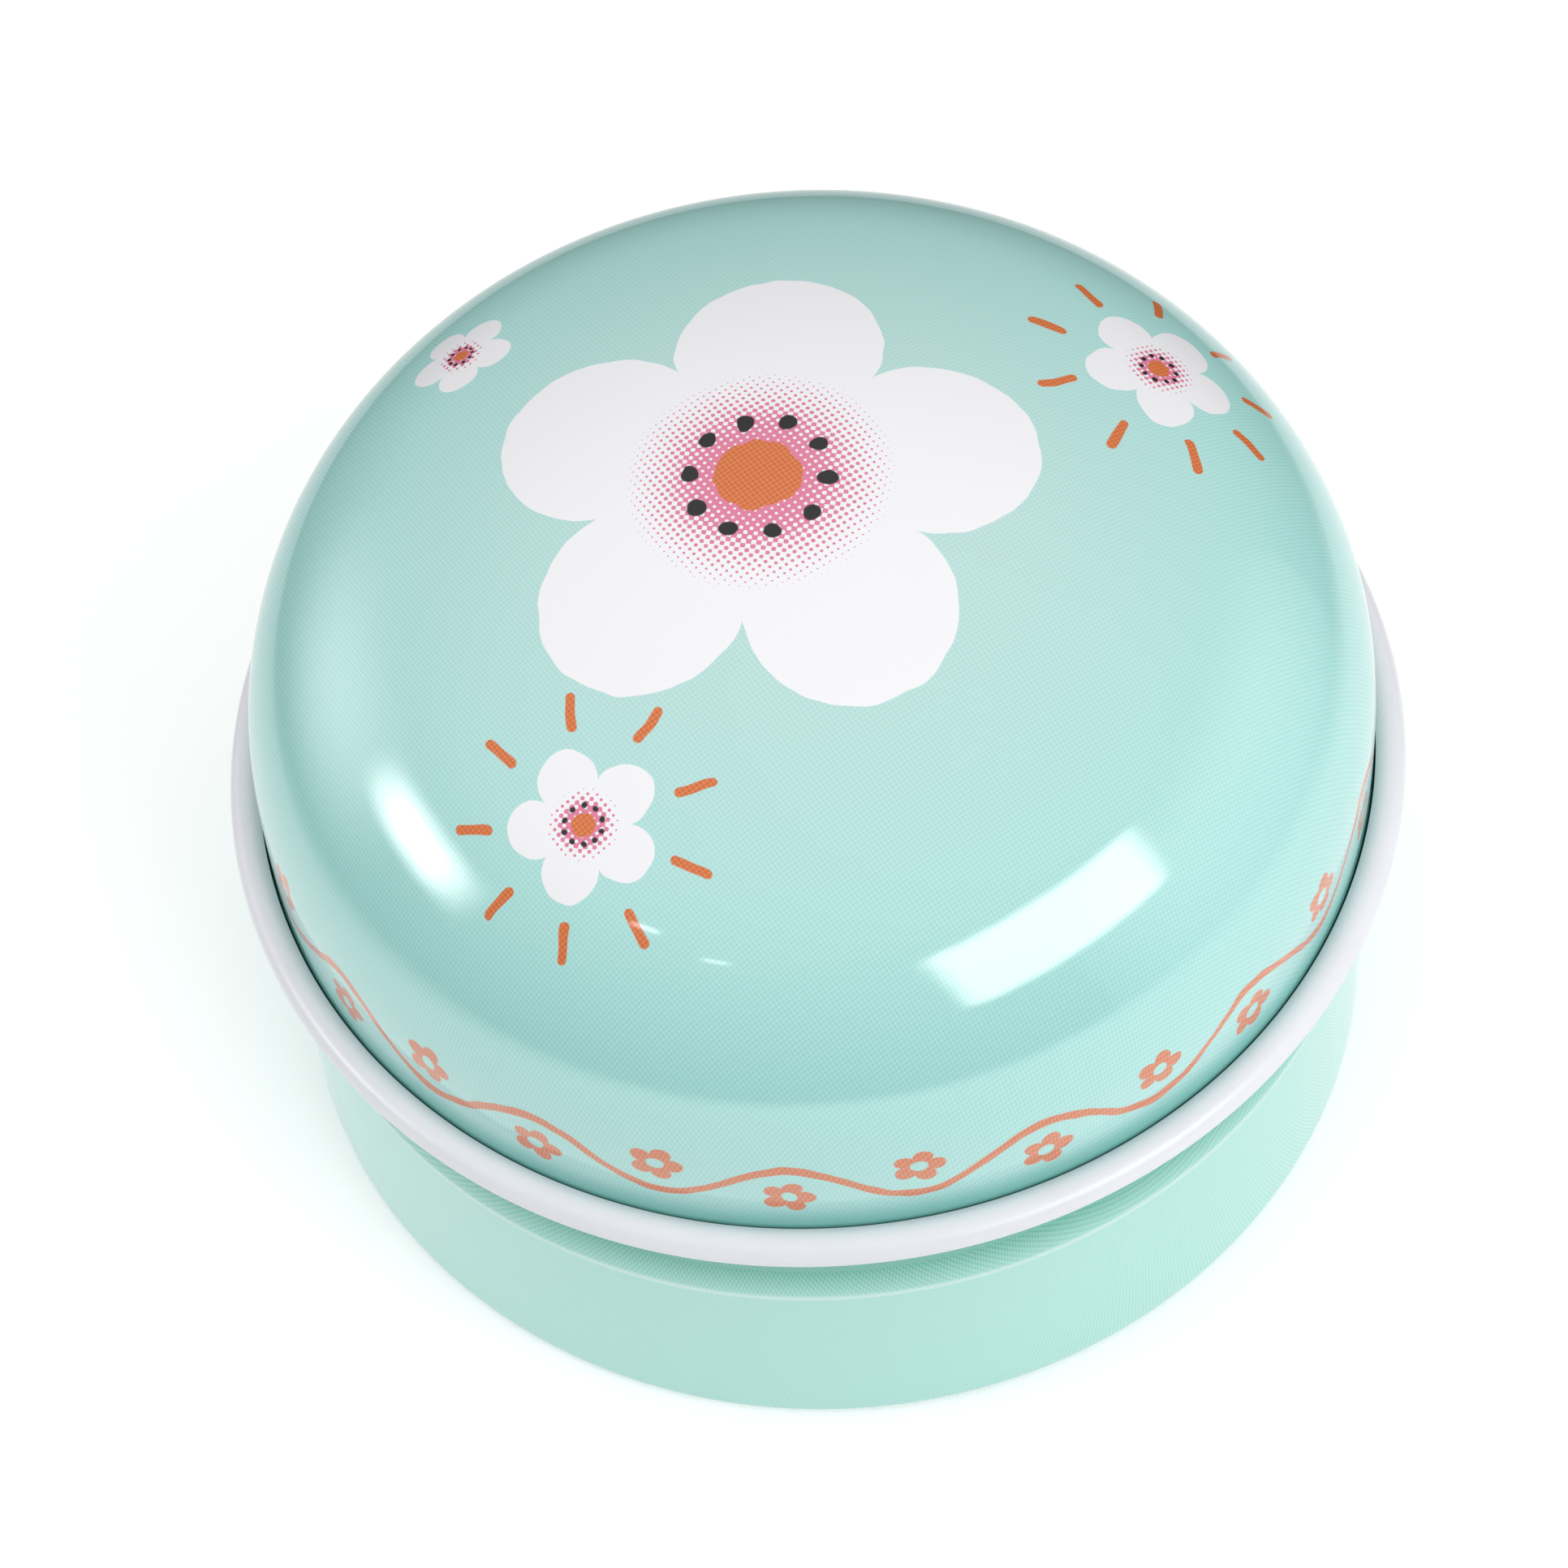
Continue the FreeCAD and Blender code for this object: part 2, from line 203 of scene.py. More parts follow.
# White blossoms on the lid: middle on the flat blank, radius, turn, and whether orange rays stand round it
BLOSSOMS = (
    ((-1.5, 1.0), 13.6, math.radians(8), False),
    ((19.2, 9.0), 4.2, math.radians(-20), True),
    ((-11.5, -16.0), 4.0, math.radians(30), True),
    ((-16.5, 14.0), 2.9, math.radians(50), False),
)
PETALS = 5
SEEDS = 10
RAYS = 9

# A blossom's parts, as shares of its radius
PETAL_NOTCH = 0.58
PETAL_DEPTH = 0.42
PETAL_ROUNDNESS = 0.7
HEART_RADIUS = 0.15
SEED_RING = 0.24
SEED_RADIUS = 0.03
RAY_MIDDLE = 1.45
RAY_HALF_LENGTH = 0.2
RAY_HALF_WIDTH = 0.055

# The flush's dots shrink from the heart outwards, and end below nothing, so that no specks are left
FLUSH_FROM = 0.16
FLUSH_TO = 0.5
FLUSH_FULL = 0.85
FLUSH_NONE = -0.1
FLUSH_DOT_EDGE = 0.06

# A garland round the lid's skirt: a waved stem with a small blossom in each bay
GARLAND_WAVES = 14
GARLAND_HEIGHT = 22.6
GARLAND_SWING = 1.4
GARLAND_STEM = 0.26
GARLAND_BLOSSOM = 1.25
GARLAND_BLOSSOM_EYE = 0.34
GARLAND_BLOSSOM_DROP = 0.85

# A hard baked varnish, which mirrors a little more than the usual 1.5, with a ripple from its rollers
VARNISH_IOR = 1.9
VARNISH_RIPPLE = 1.6
VARNISH_RIPPLE_DEPTH = 0.008

# White lacquer and bare steel
LACQUER_DULL = "#E4E5EB"
LACQUER_BRIGHT = "#EAEBF0"
LACQUER_CLOUDS_PER_MM = 0.35
LACQUER_RIPPLE = 1.2
LACQUER_RIPPLE_DEPTH = 0.004
STEEL_DULL = "#8E8C88"
STEEL_BRIGHT = "#C4C2BD"
STEEL_STREAKS_PER_MM = 8.0

# Sockets of a colour Mix node
SHARE, UNDER, OVER, COLOUR = 0, 6, 7, 2


# Materials
def hex_colour(text):
    """An sRGB hex value as the linear colour that a shader takes."""
    channels = [int(text[start:start + 2], 16) / 255 for start in (1, 3, 5)]
    linear = [c / 12.92 if c <= 0.04045 else ((c + 0.055) / 1.055) ** 2.4 for c in channels]
    return (*linear, 1)


def add_node(tree, kind, inputs, **settings):
    """Add a node with its own settings; inputs give a socket a value, or the node or socket that feeds it."""
    made = tree.nodes.new(kind)
    for field, value in settings.items():
        setattr(made, field, value)
    for socket, value in inputs.items():
        if isinstance(value, bpy.types.Node):
            tree.links.new(value.outputs[0], made.inputs[socket])
        elif isinstance(value, bpy.types.NodeSocket):
            tree.links.new(value, made.inputs[socket])
        else:
            made.inputs[socket].default_value = value
    return made


def new_material(name):
    """An empty node material, with its tree and its output node."""
    material = bpy.data.materials.new(name)
    material.use_nodes = True
    tree = material.node_tree
    tree.nodes.clear()
    return material, tree, add_node(tree, "ShaderNodeOutputMaterial", {})


def place_in_mm(tree):
    """The place on the piece, in millimetres."""
    place = add_node(tree, "ShaderNodeTexCoord", {})
    return add_node(tree, "ShaderNodeVectorMath", {
        0: place.outputs["Object"], "Scale": 1 / MM,
    }, operation="SCALE")


def flat_blank(tree, point, middle_height, wall_share):
    """A point's height, its distance along the sheet from the blank's middle, and its place on the blank.

    The print lies as it did on the flat blank, before the sheet was drawn.
    """
    height = add_node(tree, "ShaderNodeSeparateXYZ", {0: point}).outputs["Z"]
    plan = add_node(tree, "ShaderNodeVectorMath", {0: point, 1: (1, 1, 0)}, operation="MULTIPLY")
    radius = add_node(tree, "ShaderNodeVectorMath", {0: plan}, operation="LENGTH").outputs["Value"]
    drop = add_node(tree, "ShaderNodeMath", {0: middle_height, 1: height}, operation="SUBTRACT")
    drop = add_node(tree, "ShaderNodeMath", {0: drop}, operation="ABSOLUTE")
    reach = add_node(tree, "ShaderNodeMath", {0: drop, 1: wall_share, 2: radius}, operation="MULTIPLY_ADD")
    safe_radius = add_node(tree, "ShaderNodeMath", {0: radius, 1: LEAST_RADIUS}, operation="MAXIMUM")
    spread = add_node(tree, "ShaderNodeMath", {0: reach, 1: safe_radius}, operation="DIVIDE")
    blank = add_node(tree, "ShaderNodeVectorMath", {0: plan, "Scale": spread}, operation="SCALE")
    return height, reach, blank


def dot_screen(tree, blank, pitch):
    """A turned printing screen: 0 at the middle of a dot and 1 at the middle of a gap."""
    waves = TURN / pitch / math.sqrt(2)
    turned = add_node(tree, "ShaderNodeMapping", {
        "Vector": blank,
        "Rotation": (0, 0, SCREEN_TURN),
        "Scale": (waves, waves, 1),
    })
    sides = add_node(tree, "ShaderNodeSeparateXYZ", {0: turned})
    across = add_node(tree, "ShaderNodeMath", {0: sides.outputs["X"]}, operation="COSINE")
    down = add_node(tree, "ShaderNodeMath", {0: sides.outputs["Y"]}, operation="COSINE")
    both = add_node(tree, "ShaderNodeMath", {0: across, 1: down}, operation="MULTIPLY")
    return add_node(tree, "ShaderNodeMath", {0: both, 1: 0.5, 2: 0.5}, operation="MULTIPLY_ADD")


def mint_ground(tree, screen, painted_shading, light_dots, full_dots, light_gaps, full_gaps):
    """Mint ink in dots with paler gaps between them, which goes from a light tint to a full one by the share
    of painted shading.
    """
    dots = add_node(tree, "ShaderNodeMix", {
        SHARE: painted_shading, UNDER: hex_colour(light_dots), OVER: hex_colour(full_dots),
    }, data_type="RGBA").outputs[COLOUR]
    gaps = add_node(tree, "ShaderNodeMix", {
        SHARE: painted_shading, UNDER: hex_colour(light_gaps), OVER: hex_colour(full_gaps),
    }, data_type="RGBA").outputs[COLOUR]
    return add_node(tree, "ShaderNodeMix", {
        SHARE: screen, UNDER: dots, OVER: gaps,
    }, data_type="RGBA").outputs[COLOUR]


def petal_outline(tree, angle, radius):
    """How far out the petals reach at an angle: round lobes that meet in notches."""
    lobe = add_node(tree, "ShaderNodeMath", {0: angle, 1: PETALS / 2}, operation="MULTIPLY")
    lobe = add_node(tree, "ShaderNodeMath", {0: lobe}, operation="COSINE")
    lobe = add_node(tree, "ShaderNodeMath", {0: lobe}, operation="ABSOLUTE")
    lobe = add_node(tree, "ShaderNodeMath", {0: lobe, 1: PETAL_ROUNDNESS}, operation="POWER")
    return add_node(tree, "ShaderNodeMath", {
        0: lobe, 1: PETAL_DEPTH * radius, 2: PETAL_NOTCH * radius,
    }, operation="MULTIPLY_ADD")


def blossom(tree, paint, drawn, pink_screen, orange, middle, size, turn, with_rays):
    """Print a blossom over the paint, drawn at unit size on its own turned axes."""
    own = add_node(tree, "ShaderNodeMapping", {
        "Vector": drawn,
        "Location": (*middle, 0),
        "Rotation": (0, 0, turn),
        "Scale": (size, size, 1),
    }, vector_type="TEXTURE")
    sides = add_node(tree, "ShaderNodeSeparateXYZ", {0: own})
    away = add_node(tree, "ShaderNodeVectorMath", {0: own}, operation="LENGTH").outputs["Value"]
    angle = add_node(tree, "ShaderNodeMath", {
        0: sides.outputs["Y"], 1: sides.outputs["X"],
    }, operation="ARCTAN2")
    edge = EDGE_SOFTNESS / size
    stroke_edge = STROKE_SOFTNESS / size

    # White petals
    outline = petal_outline(tree, angle, 1)
    inside = add_node(tree, "ShaderNodeMath", {0: outline, 1: away}, operation="SUBTRACT")
    petals = add_node(tree, "ShaderNodeMapRange", {
        "Value": inside, "From Min": -edge, "From Max": edge,
    }, interpolation_type="SMOOTHSTEP")
    paint = add_node(tree, "ShaderNodeMix", {
        SHARE: petals, UNDER: paint, OVER: hex_colour(WHITE_COAT),
    }, data_type="RGBA").outputs[COLOUR]

    # Pink flush: dots that shrink away from the heart
    flush = add_node(tree, "ShaderNodeMapRange", {
        "Value": away, "From Min": FLUSH_FROM, "From Max": FLUSH_TO,
        "To Min": FLUSH_FULL, "To Max": FLUSH_NONE,
    })
    dots = add_node(tree, "ShaderNodeMath", {0: flush, 1: pink_screen}, operation="SUBTRACT")
    dots = add_node(tree, "ShaderNodeMapRange", {
        "Value": dots, "From Min": -FLUSH_DOT_EDGE, "From Max": FLUSH_DOT_EDGE,
    })
    paint = add_node(tree, "ShaderNodeMix", {
        SHARE: dots, UNDER: paint, OVER: hex_colour(PINK_INK),
    }, data_type="RGBA").outputs[COLOUR]

    # Orange heart
    heart = add_node(tree, "ShaderNodeMapRange", {
        "Value": away, "From Min": HEART_RADIUS - edge, "From Max": HEART_RADIUS + edge,
        "To Min": 1, "To Max": 0,
    }, interpolation_type="SMOOTHSTEP")
    paint = add_node(tree, "ShaderNodeMix", {
        SHARE: heart, UNDER: paint, OVER: orange,
    }, data_type="RGBA").outputs[COLOUR]

    # Black seeds in a ring round the heart
    turn_share = add_node(tree, "ShaderNodeMath", {0: angle, 1: SEEDS / TURN}, operation="MULTIPLY")
    turn_share = add_node(tree, "ShaderNodeMath", {0: turn_share}, operation="FRACT")
    sideways = add_node(tree, "ShaderNodeMath", {0: turn_share, 1: 0.5}, operation="SUBTRACT")
    seed_spacing = TURN / SEEDS * SEED_RING
    sideways = add_node(tree, "ShaderNodeMath", {0: sideways, 1: seed_spacing}, operation="MULTIPLY")
    outwards = add_node(tree, "ShaderNodeMath", {0: away, 1: SEED_RING}, operation="SUBTRACT")
    seed_place = add_node(tree, "ShaderNodeCombineXYZ", {0: sideways, 1: outwards})
    seed_off = add_node(tree, "ShaderNodeVectorMath", {0: seed_place}, operation="LENGTH")
    seeds = add_node(tree, "ShaderNodeMapRange", {
        "Value": seed_off.outputs["Value"], "From Min": SEED_RADIUS, "From Max": SEED_RADIUS + stroke_edge,
        "To Min": 1, "To Max": 0,
    })
    paint = add_node(tree, "ShaderNodeMix", {
        SHARE: seeds, UNDER: paint, OVER: hex_colour(BLACK_INK),
    }, data_type="RGBA").outputs[COLOUR]
    if not with_rays:
        return paint

    # Short orange strokes that stand round the blossom
    turn_share = add_node(tree, "ShaderNodeMath", {0: angle, 1: RAYS / TURN}, operation="MULTIPLY")
    turn_share = add_node(tree, "ShaderNodeMath", {0: turn_share}, operation="FRACT")
    sideways = add_node(tree, "ShaderNodeMath", {0: turn_share, 1: 0.5}, operation="SUBTRACT")
    sideways = add_node(tree, "ShaderNodeMath", {0: sideways, 1: TURN / RAYS}, operation="MULTIPLY")
    sideways = add_node(tree, "ShaderNodeMath", {0: sideways, 1: away}, operation="MULTIPLY")
    outwards = add_node(tree, "ShaderNodeMath", {0: away, 1: RAY_MIDDLE}, operation="SUBTRACT")
    outwards = add_node(tree, "ShaderNodeMath", {0: outwards}, operation="ABSOLUTE")
    outwards = add_node(tree, "ShaderNodeMath", {0: outwards, 1: RAY_HALF_LENGTH}, operation="SUBTRACT")
    outwards = add_node(tree, "ShaderNodeMath", {0: outwards, 1: 0}, operation="MAXIMUM")
    stroke_place = add_node(tree, "ShaderNodeCombineXYZ", {0: sideways, 1: outwards})
    stroke_off = add_node(tree, "ShaderNodeVectorMath", {0: stroke_place}, operation="LENGTH")
    strokes = add_node(tree, "ShaderNodeMapRange", {
        "Value": stroke_off.outputs["Value"],
        "From Min": RAY_HALF_WIDTH, "From Max": RAY_HALF_WIDTH + stroke_edge,
        "To Min": 1, "To Max": 0,
    })
    return add_node(tree, "ShaderNodeMix", {
        SHARE: strokes, UNDER: paint, OVER: orange,
    }, data_type="RGBA").outputs[COLOUR]


def garland(tree, paint, drawn_wall, orange):
    """Print the orange garland over the paint."""
    # The stem
    wall = add_node(tree, "ShaderNodeSeparateXYZ", {0: drawn_wall})
    angle = add_node(tree, "ShaderNodeMath", {
        0: wall.outputs["Y"], 1: wall.outputs["X"],
    }, operation="ARCTAN2")
    phase = add_node(tree, "ShaderNodeMath", {0: angle, 1: GARLAND_WAVES}, operation="MULTIPLY")
    wave = add_node(tree, "ShaderNodeMath", {0: phase}, operation="SINE")
    level = add_node(tree, "ShaderNodeMath", {
        0: wall.outputs["Z"], 1: GARLAND_HEIGHT,
    }, operation="SUBTRACT")
    stem_off = add_node(tree, "ShaderNodeMath", {
        0: wave, 1: -GARLAND_SWING, 2: level,
    }, operation="MULTIPLY_ADD")
    stem_off = add_node(tree, "ShaderNodeMath", {0: stem_off}, operation="ABSOLUTE")
    stem = add_node(tree, "ShaderNodeMapRange", {
        "Value": stem_off, "From Min": GARLAND_STEM, "From Max": GARLAND_STEM + 2 * EDGE_SOFTNESS,
        "To Min": 1, "To Max": 0,
    })

    # Its small blossoms, each with an open eye
    side = add_node(tree, "ShaderNodeMath", {0: wave}, operation="SIGN")
    bays = add_node(tree, "ShaderNodeMath", {0: phase, 1: 2 / TURN}, operation="MULTIPLY")
    bays = add_node(tree, "ShaderNodeMath", {0: bays}, operation="FRACT")
    sideways = add_node(tree, "ShaderNodeMath", {0: bays, 1: 0.5}, operation="SUBTRACT")
    bay_width = TURN / 2 / GARLAND_WAVES * SKIRT_OUTER
    sideways = add_node(tree, "ShaderNodeMath", {0: sideways, 1: bay_width}, operation="MULTIPLY")
    upwards = add_node(tree, "ShaderNodeMath", {
        0: side, 1: GARLAND_BLOSSOM_DROP, 2: level,
    }, operation="MULTIPLY_ADD")
    bloom = add_node(tree, "ShaderNodeCombineXYZ", {0: sideways, 1: upwards})
    away = add_node(tree, "ShaderNodeVectorMath", {0: bloom}, operation="LENGTH").outputs["Value"]
    bloom_angle = add_node(tree, "ShaderNodeMath", {0: upwards, 1: sideways}, operation="ARCTAN2")
    outline = petal_outline(tree, bloom_angle, GARLAND_BLOSSOM)
    inside = add_node(tree, "ShaderNodeMath", {0: outline, 1: away}, operation="SUBTRACT")
    blooms = add_node(tree, "ShaderNodeMapRange", {
        "Value": inside, "From Min": -EDGE_SOFTNESS, "From Max": EDGE_SOFTNESS,
    })
    eyes = add_node(tree, "ShaderNodeMapRange", {
        "Value": away,
        "From Min": GARLAND_BLOSSOM_EYE, "From Max": GARLAND_BLOSSOM_EYE + 2 * EDGE_SOFTNESS,
    })
    blooms = add_node(tree, "ShaderNodeMath", {0: blooms, 1: eyes}, operation="MULTIPLY")
    printed = add_node(tree, "ShaderNodeMath", {0: stem, 1: blooms}, operation="MAXIMUM")
    return add_node(tree, "ShaderNodeMix", {
        SHARE: printed, UNDER: paint, OVER: orange,
    }, data_type="RGBA").outputs[COLOUR]


def roller_varnish(tree, output, point, paint):
    """Roller varnish over the inks: an even hard gloss, which ripples the reflections a little."""
    ripple = add_node(tree, "ShaderNodeTexNoise", {"Vector": point, "Scale": 1 / VARNISH_RIPPLE, "Detail": 1})
    varnish = add_node(tree, "ShaderNodeBump", {
        "Height": ripple.outputs[0], "Strength": 0.5, "Distance": VARNISH_RIPPLE_DEPTH * MM,
    })
    shader = add_node(tree, "ShaderNodeBsdfPrincipled", {
        "Base Color": paint,
        "Roughness": 0.4,
        "Specular IOR Level": 0.0,
        "Normal": varnish,
        "Coat Weight": 1.0,
        "Coat Roughness": 0.06,
        "Coat IOR": VARNISH_IOR,
        "Coat Normal": varnish,
    })
    tree.links.new(shader.outputs[0], output.inputs["Surface"])


def printed_lid_tinplate(middle_height):
    """Tinplate, white-coated, offset-printed and varnished: flat inks, with the mint in a fine dot screen and
    painted light and shade graded into the mint.
    """
    material, tree, output = new_material("printed_lid_tinplate")
    point = place_in_mm(tree)
    height, reach, blank = flat_blank(tree, point, middle_height, LID_WALL_SHARE)
    screen = dot_screen(tree, blank, SCREEN_PITCH)
    pink_screen = dot_screen(tree, blank, PINK_PITCH)

    # Painted light: the mint is paler on the crown, which faces the overhead light, and fuller towards the
    # lid's edge
    painted_shading = add_node(tree, "ShaderNodeMapRange", {
        "Value": reach, "From Min": PAINTED_LIGHT_FULL_WITHIN, "From Max": PAINTED_LIGHT_GONE_PAST,
    })
    paint = mint_ground(
        tree, screen, painted_shading, MINT_DOTS_CROWN_LIT, MINT_DOTS_SKIRT, MINT_GAPS_CROWN_LIT, MINT_GAPS_SKIRT)
    orange = add_node(tree, "ShaderNodeMix", {
        SHARE: screen, UNDER: hex_colour(ORANGE_SCREEN), OVER: hex_colour(ORANGE_INK),
    }, data_type="RGBA").outputs[COLOUR]

    # Painted shade: the foot of the skirt is darker in the crease above the rim curl, where it mirrors the
    # shaded slit
    crease_shade = add_node(tree, "ShaderNodeMapRange", {
        "Value": height, "From Min": CREASE_SHADE_FULL_BELOW, "From Max": CREASE_SHADE_NONE_ABOVE,
        "To Min": CREASE_SHADE_COVER, "To Max": 0,
    }, interpolation_type="SMOOTHSTEP")
    paint = add_node(tree, "ShaderNodeMix", {
        SHARE: crease_shade, UNDER: paint, OVER: hex_colour(MINT_CREASE_SHADE),
    }, data_type="RGBA").outputs[COLOUR]

    # Motifs, with the waver of a hand
    waver = add_node(tree, "ShaderNodeTexNoise", {"Vector": point, "Scale": 1 / WAVER_LENGTH, "Detail": 1})
    waver = add_node(tree, "ShaderNodeVectorMath", {
        0: waver.outputs["Color"], 1: (0.5, 0.5, 0.5),
    }, operation="SUBTRACT")
    waver = add_node(tree, "ShaderNodeVectorMath", {0: waver, "Scale": WAVER_SWING}, operation="SCALE")
    drawn = add_node(tree, "ShaderNodeVectorMath", {0: blank, 1: waver}, operation="ADD")
    drawn_wall = add_node(tree, "ShaderNodeVectorMath", {0: point, 1: waver}, operation="ADD")
    for middle, size, turn, with_rays in BLOSSOMS:
        paint = blossom(tree, paint, drawn, pink_screen, orange, middle, size, turn, with_rays)
    paint = garland(tree, paint, drawn_wall, orange)
    roller_varnish(tree, output, point, paint)
    return material


def printed_base_tinplate():
    """The lid's sheet without motifs: the mint dot screen, with painted shade on the neck and a painted
    highlight along the shoulder, under the same varnish.
    """
    material, tree, output = new_material("printed_base_tinplate")
    point = place_in_mm(tree)
    height, reach, blank = flat_blank(tree, point, PANEL_RISE, BASE_WALL_SHARE)
    screen = dot_screen(tree, blank, SCREEN_PITCH)

    # Painted shade: the mint is darker just above the shoulder, where the lid's rim shades the neck
    painted_shading = add_node(tree, "ShaderNodeMapRange", {
        "Value": height, "From Min": SHOULDER_HEIGHT, "From Max": SHOULDER_HEIGHT + NECK_SHADE_RISE,
    })
    shade_thins = add_node(tree, "ShaderNodeMapRange", {
        "Value": height,
        "From Min": SHOULDER_HEIGHT + NECK_SHADE_THINS_FROM,
        "From Max": SHOULDER_HEIGHT + NECK_SHADE_THINS_TO,
        "To Min": 1,
        "To Max": NECK_SHADE_LEFT,
    }, interpolation_type="SMOOTHSTEP")
    painted_shading = add_node(tree, "ShaderNodeMath", {0: painted_shading, 1: shade_thins}, operation="MULTIPLY")
    paint = mint_ground(
        tree, screen, painted_shading, MINT_DOTS_WALL, MINT_DOTS_NECK_SHADE, MINT_GAPS_WALL, MINT_GAPS_NECK_SHADE)

    # Painted highlight: a pale line along the convex bend of the shoulder
    bend_off = add_node(tree, "ShaderNodeMath", {0: height, 1: SHOULDER_HIGHLIGHT_HEIGHT}, operation="SUBTRACT")
    bend_off = add_node(tree, "ShaderNodeMath", {0: bend_off}, operation="ABSOLUTE")
    shoulder_highlight = add_node(tree, "ShaderNodeMapRange", {
        "Value": bend_off, "From Min": SHOULDER_HIGHLIGHT_FULL_WITHIN, "From Max": SHOULDER_HIGHLIGHT_NONE_PAST,
        "To Min": SHOULDER_HIGHLIGHT_COVER, "To Max": 0,
    })
    paint = add_node(tree, "ShaderNodeMix", {
        SHARE: shoulder_highlight, UNDER: paint, OVER: hex_colour(MINT_SHOULDER_HIGHLIGHT),
    }, data_type="RGBA").outputs[COLOUR]
    roller_varnish(tree, output, point, paint)
    return material


def white_lacquered_tinplate():
    """Tinplate with a baked white roller lacquer, as tins have inside: a soft gloss, a little uneven."""
    material, tree, output = new_material("white_lacquered_tinplate")
    point = place_in_mm(tree)
    cloud = add_node(tree, "ShaderNodeTexNoise", {
        "Vector": point, "Scale": LACQUER_CLOUDS_PER_MM, "Detail": 3,
    })
    tint = add_node(tree, "ShaderNodeMix", {
        SHARE: cloud.outputs[0], UNDER: hex_colour(LACQUER_DULL), OVER: hex_colour(LACQUER_BRIGHT),
    }, data_type="RGBA").outputs[COLOUR]
    gloss = add_node(tree, "ShaderNodeMapRange", {"Value": cloud.outputs[0], "To Min": 0.26, "To Max": 0.32})
    ripple = add_node(tree, "ShaderNodeTexNoise", {"Vector": point, "Scale": 1 / LACQUER_RIPPLE, "Detail": 2})
    lacquer = add_node(tree, "ShaderNodeBump", {
        "Height": ripple.outputs[0], "Strength": 0.5, "Distance": LACQUER_RIPPLE_DEPTH * MM,
    })
    shader = add_node(tree, "ShaderNodeBsdfPrincipled", {
        "Base Color": tint,
        "Roughness": gloss.outputs[0],
        "IOR": 1.5,
        "Normal": lacquer,
    })
    tree.links.new(shader.outputs[0], output.inputs["Surface"])
    return material


def sheared_tinplate_edge():
    """The sheared edge of the sheet: bare steel, dull, with the shear's fine streaks."""
    material, tree, output = new_material("sheared_tinplate_edge")
    point = place_in_mm(tree)
    streaks = add_node(tree, "ShaderNodeTexNoise", {
        "Vector": point, "Scale": STEEL_STREAKS_PER_MM, "Detail": 2,
    })
    tint = add_node(tree, "ShaderNodeMix", {
        SHARE: streaks.outputs[0], UNDER: hex_colour(STEEL_DULL), OVER: hex_colour(STEEL_BRIGHT),
    }, data_type="RGBA").outputs[COLOUR]
    gloss = add_node(tree, "ShaderNodeMapRange", {"Value": streaks.outputs[0], "To Min": 0.3, "To Max": 0.5})
    shader = add_node(tree, "ShaderNodeBsdfPrincipled", {
        "Base Color": tint,
        "Metallic": 1.0,
        "Roughness": gloss.outputs[0],
    })
    tree.links.new(shader.outputs[0], output.inputs["Surface"])
    return material


lid_top = lid_profile()[0][1]
lid_print = printed_lid_tinplate(lid_top)
base_print = printed_base_tinplate()
inside_lacquer = white_lacquered_tinplate()
sheared_edge = sheared_tinplate_edge()


# Modelling
def drawn_sheet(name, profile, middle_looks_up, printed):
    """A drawn tinplate piece: its printed face is traced, spun round the axis and given the sheet's gauge."""
    bpy.ops.object.select_all(action="DESELECT")
    bpy.ops.mesh.primitive_plane_add(size=MM)
    piece = bpy.context.object
    piece.name = name
    piece.data.name = name

    # Trace the profile from a single point
    bpy.ops.object.mode_set(mode="EDIT")
    bpy.ops.mesh.merge(type="CENTER")
    corners = [Vector((radius * MM, 0, height * MM)) for radius, height in profile]
    bpy.ops.transform.translate(value=corners[0])
    for here, there in zip(corners, corners[1:]):
        bpy.ops.mesh.extrude_region_move(TRANSFORM_OT_translate={"value": there - here})

    # Spin it, close the seam and the pole, and turn the printed face outwards
    bpy.ops.mesh.select_all(action="SELECT")
    bpy.ops.mesh.spin(steps=SEGMENTS, angle=TURN, center=(0, 0, 0), axis=(0, 0, 1))
    bpy.ops.mesh.select_all(action="SELECT")
    bpy.ops.mesh.remove_doubles(threshold=0.001 * MM)
    bpy.ops.mesh.normals_make_consistent(inside=False)
    bpy.ops.object.mode_set(mode="OBJECT")
    middle = min(piece.data.polygons, key=lambda face: face.center.xy.length)
    if (middle.normal.z > 0) != middle_looks_up:
        bpy.ops.object.mode_set(mode="EDIT")
        bpy.ops.mesh.flip_normals()
        bpy.ops.object.mode_set(mode="OBJECT")

    # The gauge goes inwards, with lacquer on the inner face and bare steel on the cut edge
    for material in (printed, inside_lacquer, sheared_edge):
        piece.data.materials.append(material)
    wall = piece.modifiers.new("gauge", "SOLIDIFY")
    wall.thickness = SHEET_GAUGE * MM
    wall.offset = -1
    wall.use_even_offset = True
    wall.material_offset = 1
    wall.material_offset_rim = 2
    bpy.ops.object.modifier_apply(modifier=wall.name)
    bpy.ops.object.shade_smooth_by_angle(angle=SHARP_ANGLE)
    return piece


lid_tin = drawn_sheet("lid_tin", lid_profile(), True, lid_print)
base_tin = drawn_sheet("base_tin", base_profile(), False, base_print)

# Bodies that the pieces move with
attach(lid_tin, "lid")
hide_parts("lid")
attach(base_tin, "base")
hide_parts("base")

# Studio: a sheet of white paper in a white room, inside a tent of thin black cloth
STAGE_SIDES = 96
PAPER_MIDDLE = (0.010, -0.042, -0.02 * MM)
PAPER_RADIUS = 0.15
PAPER_FADE_FROM = 0.07
PAPER_FADE_TO = 0.13
PAPER_WHITE = (0.88, 0.88, 0.88, 1)
PAPER_LIFT = 0.26
TENT_RADIUS = 1.9
TENT_FOOT = -0.9
TENT_TOP = 2.2

